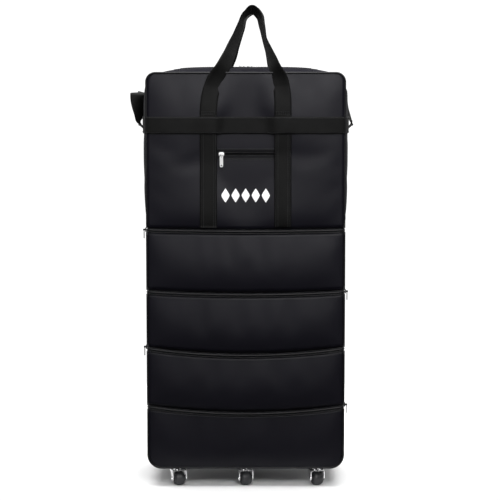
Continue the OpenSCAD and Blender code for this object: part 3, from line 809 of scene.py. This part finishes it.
def band_grid(lift):
    """Rows up the band by columns all round the bag, lying on the panels and the gussets."""
    rows = []
    for z in np.linspace(BAND_LOW, BAND_HIGH, 9):
        ring = []
        for (x, y), (ox, oy), a in zip(PLAN, OUTWARD, ACROSS):
            if a >= 0 and abs(x) < HALF_W - 2 * CORNER_R:
                side = -1 if y < 0 else 1
                over = smoothstep((WEBBING / 2 + 9 * MM - abs(abs(x) - HANDLE_X)) / (8 * MM))
                level = on_panel(x, z, side, lift)[1]
                raised = across_panel(math.copysign(HANDLE_X, x), z, side, lift + 2.4 * MM)[1]
                ring.append((x, level + over * (raised - level), z))
            elif a < 0 and abs(y) < HALF_D - 2 * CORNER_R:
                side = -1 if x < 0 else 1
                hit = sides[side].ray_cast(Vector((side * 0.4, y, z)), Vector((-side, 0, 0)))
                ring.append((hit[0].x + side * lift, y, z))
            else:
                ring.append((x + ox * (lift + 2.4 * MM), y + oy * (lift + 2.4 * MM), z))
        rows.append(ring)
    return np.array(rows)


def settle(grid):
    """Evens out a strip that lies on puckered cloth, so that it keeps its own stiffness."""
    return (np.roll(grid, 1, 1) + 2 * grid + np.roll(grid, -1, 1)) / 4


def waist_band():
    """The band of webbing round the top section, with a line of stitches along each edge."""
    band = settle(band_grid(2.4 * MM))
    build = Build()
    build.grid(band, wrap=True)
    outer = np.c_[OUTWARD, np.zeros(len(OUTWARD))]
    for r, up in ((0, 2.5 * MM), (-1, -2.5 * MM)):
        line = band[r] + (0, 0, up) + outer * 0.3 * MM
        build.stitches(np.vstack([line, line[:1]]), np.vstack([outer, outer[:1]]), 1)
    belt = build.make("waist_band_webbing", [STRAP, THREAD])
    thicken(belt, 1.5 * MM)
    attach(belt, "top_section")
    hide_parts("waist_band")


waist_band()

# ---- Handles, each one length of webbing with the strips that it grows out of ----

# The front handle's line from its left foot over its apex to its right foot, chosen close to the CAD's: x, y
# and z in millimetres, and the webbing's twist in degrees
HANDLE = np.array([
    [-83, -126, 849, 0], [-79, -129.5, 885, 4], [-68, -132, 920, 16], [-51, -132, 947, 34],
    [-37, -110, 974, 50], [-25, -78, 1005, 64], [-12, -48, 1042, 72], [-3, -32, 1067, 76],
    [14, -26, 1080, 60], [29, -32, 1067, 70], [36, -48, 1042, 76], [44, -78, 1005, 78],
    [54.5, -110, 974, 66], [65, -132, 947, 48], [76, -132, 920, 16], [82, -129.5, 885, 3],
    [83, -126, 849, 0]])
HANDLE_TOP = HANDLE[:, 2].max() * MM


def handle(side, name):
    """Webbing from the top seam up one strip, through the air and down the other strip."""
    line = smooth_line(HANDLE, 8)
    twist = np.radians(line[:, 3])
    path = line[:, :3] * MM
    lean = np.clip(path[:, 2] - HANDLE_Z - 90 * MM, 0, 1) / (HANDLE_TOP - HANDLE_Z - 90 * MM)
    path[:, 0] += (0 if side < 0 else 6 * MM) * lean
    tangent = directions(path)
    flat = unit(np.stack([tangent[:, 2], 0 * twist, -tangent[:, 0]], 1))
    across = np.cos(twist)[:, None] * flat + np.outer(np.sin(twist), (0, 1, 0))
    path[:, 1] *= -side
    across[:, 1] *= -side
    for p in path:
        if p[2] < TOP_Z:
            clear = across_panel(p[0], p[2], side, 2.0 * MM)[1]
            p[1] = side * max(side * p[1], side * clear)
    low = SEAM_Z[TIERS] + SEAM_H / 2
    heights = np.arange(low, HANDLE_Z, 6 * MM)
    rise = [across_panel(path[0][0], z, side, 1.3 * MM) for z in heights]
    fall = [across_panel(path[-1][0], z, side, 1.3 * MM) for z in heights[::-1]]
    whole = np.concatenate([rise, path, fall])
    ends = np.tile((1.0, 0.0, 0.0), (len(heights), 1))
    across = np.concatenate([ends, across, -ends])
    build = Build()
    build.ribbon(whole, across, WEBBING, 1.9 * MM, 0, bow=0.6 * MM)
    for sx in (-1, 1):
        for inset in (3 * MM, 8 * MM):
            for edge in (-1, 1):
                x = sx * HANDLE_X + edge * (WEBBING / 2 - inset)
                line = [(x, across_panel(sx * HANDLE_X, z, side, 2.7 * MM)[1], z) for z in heights]
                build.stitches(line, (0, side, 0), 1)
        for z in (HANDLE_Z - 4 * MM, HANDLE_Z - 1 * MM, HANDLE_Z + 2 * MM):
            proud = across_panel(sx * HANDLE_X, z, side, 3.6 * MM)[1]
            line = [(sx * HANDLE_X + dx, proud, z)
                    for dx in np.linspace(-WEBBING / 2 + 2 * MM, WEBBING / 2 - 2 * MM, 9)]
            build.stitches(line, (0, side, 0), 1)
    obj = build.make(f"{name}_handle_webbing", [STRAP, THREAD])
    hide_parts(f"{name}_handle", "webbing_strips")
    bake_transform(obj)


handle(-1, "front")
handle(1, "rear")

# ---- Pocket ----

def pocket_zip():
    """The zip's two tapes with their teeth, and the bound and stitched edges of the slit."""
    build = Build()
    xs = np.linspace(-POCKET_X, POCKET_X, 41)
    for half, (z0, z1) in ((1, (POCKET_Z + 2.4 * MM, POCKET_Z + 10 * MM)),
                           (-1, (POCKET_Z - 10 * MM, POCKET_Z - 2.4 * MM))):
        build.grid(np.array([[on_panel(x, z, -1, 0.9 * MM) for x in xs] for z in np.linspace(z0, z1, 4)]), 0)
        edge = POCKET_Z + half * 3.0 * MM
        points, along = resample([on_panel(x, edge, -1, 0.8 * MM) for x in xs], 2.0 * MM)
        build.blocks(points, along, (0, -1, 0), (1.3 * MM, 1.8 * MM, 1.2 * MM), 1)
        hem = POCKET_Z + half * 10.5 * MM
        build.tube([on_panel(x, hem, -1, 0.8 * MM) for x in xs], 0.9 * MM, 3, 6)
        build.stitches([on_panel(x, hem + half * 2.5 * MM, -1, 0.5 * MM) for x in xs], (0, -1, 0), 2)
    tapes = build.make("pocket_zip_tapes", [TAPE, TEETH, THREAD, BINDING])
    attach(tapes, "top_section")
    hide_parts("pocket_zip")


def pocket_pouch():
    """The bag of lining behind the zip: a full back and a front with the zip's mouth in it."""
    low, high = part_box("pocket_lining")
    build = Build()
    x, z = np.meshgrid(np.linspace(low.x + 1 * MM, high.x - 1 * MM, 31), np.linspace(low.z, high.z, 31))
    share_x, share_z = (x - low.x) / (high.x - low.x), (z - low.z) / (high.z - low.z)
    fat = np.sqrt(np.clip(np.sin(math.pi * share_x), 0, 1) * np.clip(np.sin(math.pi * share_z), 0, 1))
    back = low.y + 0.8 * MM + 6.5 * MM * fat + 0.5 * MM * np.sin(60 * x) * np.sin(45 * z)
    build.grid(np.stack([-x, back, z], 2), 0)
    mouth = np.abs(z - POCKET_Z) < 5 * MM
    build.grid(np.stack([x, np.full_like(x, low.y + 0.4 * MM), z], 2), 0, skip=mouth[:-1, :-1])
    pouch = build.make("pocket_pouch", [LINING])
    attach(pouch, "top_section")
    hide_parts("pocket_lining")


pocket_zip()
pocket_pouch()

# ---- Plain printed mark: a row of lozenges ----

MARK_Z = 664 * MM
MARK_W, MARK_H, MARK_PITCH, MARKS = 18 * MM, 31 * MM, 22.5 * MM, 5


def printed_mark():
    build = Build()
    for k in range(MARKS):
        centre = (k - (MARKS - 1) / 2) * MARK_PITCH
        rows = []
        for v in np.linspace(-1, 1, 13):
            half = (1 - abs(v) ** 1.25) * MARK_W / 2 + 0.15 * MM
            rows.append([on_panel(centre + u * half, MARK_Z + v * MARK_H / 2, -1, 0.35 * MM)
                         for u in np.linspace(-1, 1, 9)])
        build.grid(np.array(rows))
    mark = build.make("printed_mark", [PRINT])
    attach(mark, "top_section")


printed_mark()

# ---- Shoulder strap, its rings' tabs and its ends ----

ring_low, ring_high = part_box("side_rings")
WIRE = 1.6 * MM
RING_Z = ring_low.z + WIRE
BAR_X, BAR_Z = ring_high.x - WIRE, ring_high.z - WIRE
RING_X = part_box("ring_tabs")[1].x - 3.2 * MM
STRAP_W = WEBBING - 4 * MM
strap_low_corner, strap_high_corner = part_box("shoulder_strap")
STRAP_BACK = (strap_low_corner.y + strap_high_corner.y) / 2
STRAP_LEFT_X = strap_low_corner.x + STRAP_W / 2
STRAP_Z = strap_high_corner.z - 0.7 * MM
STRAP_LOW = strap_low_corner.z + STRAP_W / 2
DROP_X = strap_high_corner.x - STRAP_W / 2
DROP_Z = BAR_Z + 26 * MM
# The strap's level run along the right side, and the turn from it down the back
RUN_Z = BAR_Z + 64 * MM
TURN_R = 32 * MM
TURN_STEPS = np.radians((0, 30, 60, 90))


def loop_points(half):
    """The slack loop's line behind the back panel: its left half or its right half."""
    left, top, low = STRAP_LEFT_X, STRAP_Z, STRAP_LOW
    pts = [(left, top), (left + 7 * MM, top - 30 * MM), (left + 30 * MM, top - 120 * MM),
           (left + 72 * MM, low + 150 * MM), (left + 134 * MM, low + 45 * MM), (-20 * MM, low),
           (70 * MM, low + 50 * MM), (130 * MM, low + 160 * MM), (DROP_X - 5 * MM, DROP_Z - 80 * MM),
           (DROP_X, DROP_Z - 25 * MM), (DROP_X, DROP_Z)]
    pts = pts[:6] if half < 0 else pts[5:]
    return [(x, STRAP_BACK, z) for x, z in pts]


def strap_half(name, end, across, loop):
    """Webbing from a ring along its end and on along its half of the loop."""
    back_across = unit(np.cross(directions(loop), (0, -1, 0)))
    build = Build()
    build.ribbon(np.concatenate([smooth_line(end, 6), loop]),
                 np.concatenate([smooth_line(across, 6), back_across]), STRAP_W, 1.8 * MM, 0, bow=0.5 * MM)
    return build.make(name, [STRAP])


def strap_left():
    """The half that stands out at the upper left: from its ring up, over the corner and down the back."""
    x, top = -BAR_X, STRAP_Z
    end = [(x, 0, BAR_Z + 3 * MM), (x - 1 * MM, -2 * MM, BAR_Z + 12 * MM),
           (x - 2 * MM, -5 * MM, BAR_Z + 27 * MM), (x - 3 * MM, -9 * MM, BAR_Z + 45 * MM),
           (x - 4 * MM, -13 * MM, top - 9 * MM), (x - 4 * MM, -10 * MM, top - 2 * MM),
           (x - 4 * MM, 2 * MM, top - 0.5 * MM), (x - 2 * MM, 60 * MM, top),
           (STRAP_LEFT_X, STRAP_BACK - 8 * MM, top), (STRAP_LEFT_X, STRAP_BACK - 2 * MM, top - 2 * MM),
           (STRAP_LEFT_X, STRAP_BACK, top - 8 * MM)]
    across = [(0, 1, 0), (0.43, 0.9, 0), (0.58, 0.81, 0), (0.86, 0.5, 0)] + [(1, 0, 0)] * 7
    loop = smooth_line(loop_points(-1), 8)
    strap = strap_half("shoulder_strap_left", end, across, loop[loop[:, 2] < top - 12 * MM])
    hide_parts("shoulder_strap", "strap_ends")
    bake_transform(strap)


def strap_right():
    """The other half: from its ring up, back along the side, round the corner and down the back."""
    end = [(BAR_X, 0, BAR_Z + 3 * MM), (BAR_X - 4 * MM, 1 * MM, BAR_Z + 14 * MM),
           (BAR_X - 7 * MM, 14 * MM, BAR_Z + 38 * MM), (BAR_X - 8 * MM, 45 * MM, BAR_Z + 56 * MM),
           (BAR_X - 8 * MM, 90 * MM, RUN_Z), (HALF_W + 9 * MM, HALF_D - 3 * MM, RUN_Z),
           (HALF_W + 3 * MM, HALF_D + 11 * MM, RUN_Z), (HALF_W - 14 * MM, STRAP_BACK, RUN_Z)]
    end += [(DROP_X + TURN_R * (1 - math.sin(a)), STRAP_BACK, RUN_Z - TURN_R * (1 - math.cos(a)))
            for a in TURN_STEPS]
    across = [(0, 1, 0), (0.25, 1, 0), (0.2, 0.8, -0.6), (0, 0.45, -0.9), (0, 0.15, -1)] + [(0, 0, -1)] * 3
    across += [(-math.sin(a), 0, -math.cos(a)) for a in TURN_STEPS]
    strap = strap_half("shoulder_strap_right", end, across, smooth_line(loop_points(1), 8)[::-1])
    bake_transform(strap)


def ring_tab(sx, name):
    """Webbing folded round a ring's lower and upper bars."""
    build = Build()
    turn = np.linspace(0, 2 * math.pi, 13)[:-1]
    for bar, tail in (((sx * RING_X, RING_Z), -24 * MM), ((sx * BAR_X, BAR_Z), 7 * MM)):
        eye = [(bar[0] + 2.5 * MM * math.cos(a), 0, bar[1] + 2.5 * MM * math.sin(a)) for a in turn]
        build.ribbon(eye + eye[:1], (0, 1, 0), 31 * MM, 1.3 * MM, 0)
        start = bar[1] + math.copysign(2.6 * MM, tail)
        lean = 0 if tail > 0 else sx * 1.5 * MM
        end = [(bar[0] - lean * t, 0, start + tail * t) for t in np.linspace(0, 1, 8)]
        build.ribbon(end, (0, 1, 0), 31 * MM, 2.2 * MM, 0)
    tab = build.make(f"ring_tab_{name}", [STRAP])
    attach(tab, "top_section")
    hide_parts("ring_tabs")


strap_left()
strap_right()
ring_tab(-1, "left")
ring_tab(1, "right")

# ---- Base ----

def bottom_fabric():
    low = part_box("bottom_panel")[0].z
    end = HALF_W - BOTTOM_R
    x, y = np.meshgrid(np.linspace(-end, end, 41), np.linspace(HALF_D, -HALF_D, 25))
    ripple = 0.25 * MM * np.sin(40 * x) * np.sin(50 * y)
    build = Build()
    build.grid(np.stack([x, y, low + 0.3 * MM - ripple], 2), 0)
    under = build.make("bottom_fabric", [FABRIC])
    thicken(under, 1.2 * MM)
    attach(under, "base")
    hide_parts("bottom_panel")


bottom_fabric()

# ---- Floor, light and camera ----

# Light from a bright wall behind the bag and a dim room in front of it; the backdrop itself shows white
WALL_FRONT, WALL_BACK = 0.04, 1.12
FLOOR_FRONT, FLOOR_BACK, FLOOR_SIDE = -0.22, 1.2, 1.5


def white_floor():
    build = Build()
    across, deep = np.meshgrid((-FLOOR_SIDE, 0, FLOOR_SIDE), (FLOOR_FRONT, 0, FLOOR_BACK))
    build.grid(np.stack([across, deep, 0 * across], 2))
    mat, tree, shader = new_material("floor_white")
    n = Nodes(tree)
    mottle = n.noise(n.coords("Object"), 3.0)
    n.set(shader.inputs["Base Color"], n.mix(mottle, (0.90, 0.90, 0.90), (0.93, 0.93, 0.93)))
    shader.inputs["Roughness"].default_value = 0.9
    shader.inputs["Specular IOR Level"].default_value = 0.1
    build.make("floor", [mat])


def surroundings():
    """Light by direction: brighter towards the back and above the floor."""
    world = bpy.data.worlds.new("studio")
    bpy.context.scene.world = world
    world.use_nodes = True
    n = Nodes(world.node_tree)
    way = n.node("ShaderNodeSeparateXYZ", vector=n.coords("Generated")).outputs
    behind = n.span(way[1], WALL_FRONT, WALL_BACK, -0.35, 0.25, "SMOOTHSTEP")
    lifted = n.span(way[2], 0.15, 1.0, 0.0, 0.28, "SMOOTHSTEP")
    wall = n.math("MULTIPLY", behind, lifted)
    seen = n.math("MULTIPLY", n.node("ShaderNodeLightPath").outputs["Is Camera Ray"], WALL_BACK)
    background = world.node_tree.nodes["Background"]
    n.set(background.inputs["Strength"], n.math("MAXIMUM", wall, seen))
    background.inputs["Color"].default_value = (1, 1, 1, 1)


def area_light(name, place, target, size, power, spread=180):
    data = bpy.data.lights.new(name, "AREA")
    data.spread = math.radians(spread)
    data.shape, data.size, data.energy = "SQUARE", size, power
    obj = placed(name, data)
    obj.location = place
    obj.rotation_euler = (Vector(target) - Vector(place)).to_track_quat("-Z", "Y").to_euler()


def photo_camera():
    """The photo's view, from level with the top of the bag and turned down."""
    camera = bpy.data.cameras.new("camera")
    camera.lens, camera.sensor_width = 119.4, 36
    view = placed("camera", camera)
    view.location = (0.0097, -HALF_D - 3.7, 0.902)
    view.rotation_euler = (math.radians(90 - 5.57), 0, 0)
    bpy.context.scene.camera = view
    bpy.context.scene.view_settings.view_transform = "Standard"


white_floor()
surroundings()
area_light("key", (0.40, -2.2, 1.8), (0.03, 0, 0.85), 1.3, 8.2, spread=60)
area_light("fill", (-1.0, -2.6, 1.2), (0, 0, 0.4), 1.2, 8)
area_light("overhead", (0, -0.15, 3.4), (0, -0.1, 0), 3.0, 165)
photo_camera()
